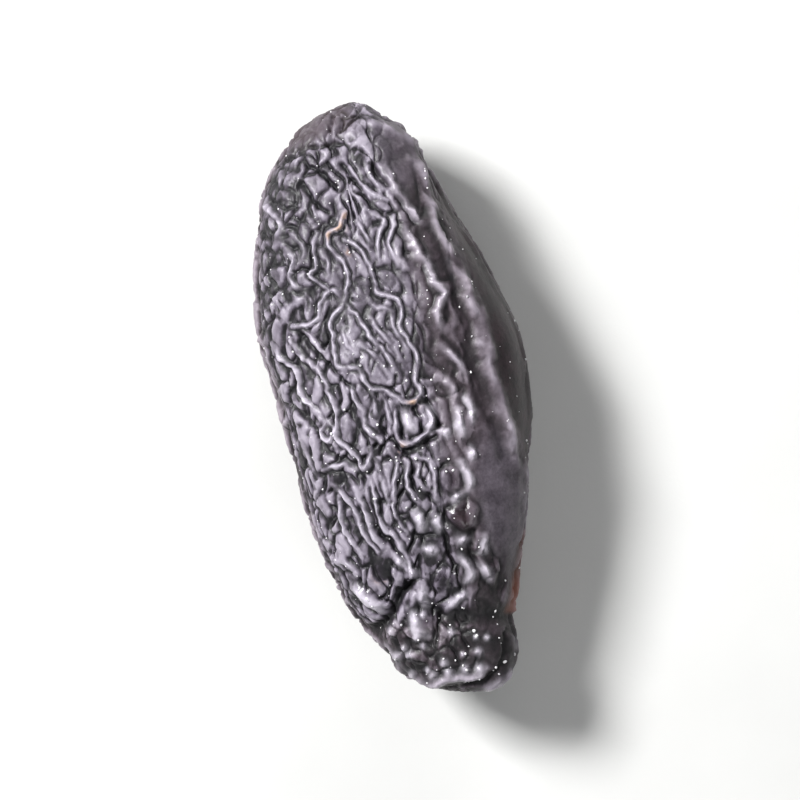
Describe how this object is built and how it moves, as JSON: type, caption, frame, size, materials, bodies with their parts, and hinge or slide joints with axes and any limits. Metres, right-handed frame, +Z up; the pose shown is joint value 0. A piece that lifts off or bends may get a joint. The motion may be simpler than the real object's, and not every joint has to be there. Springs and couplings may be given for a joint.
{
  "type": "tonka bean",
  "caption": "Dried tonka bean: a long, slightly flattened seed with a raised net of wrinkles, a rounded end, a blunt notched end and a small flat spot to rest on.",
  "frame": {"origin": "on the plane of the flat spot that the bean rests on, under the middle of its box", "axes": "+Y along the bean to its round end, +Z up from the flat spot to the wrinkled back, +X across the bean"},
  "size_m": [0.0152, 0.035, 0.0109],
  "materials": {
    "bean_skin": "satin"
  },
  "bodies": {
    "root": {"tonka_bean": "bean_skin"}
  },
  "joints": []
}
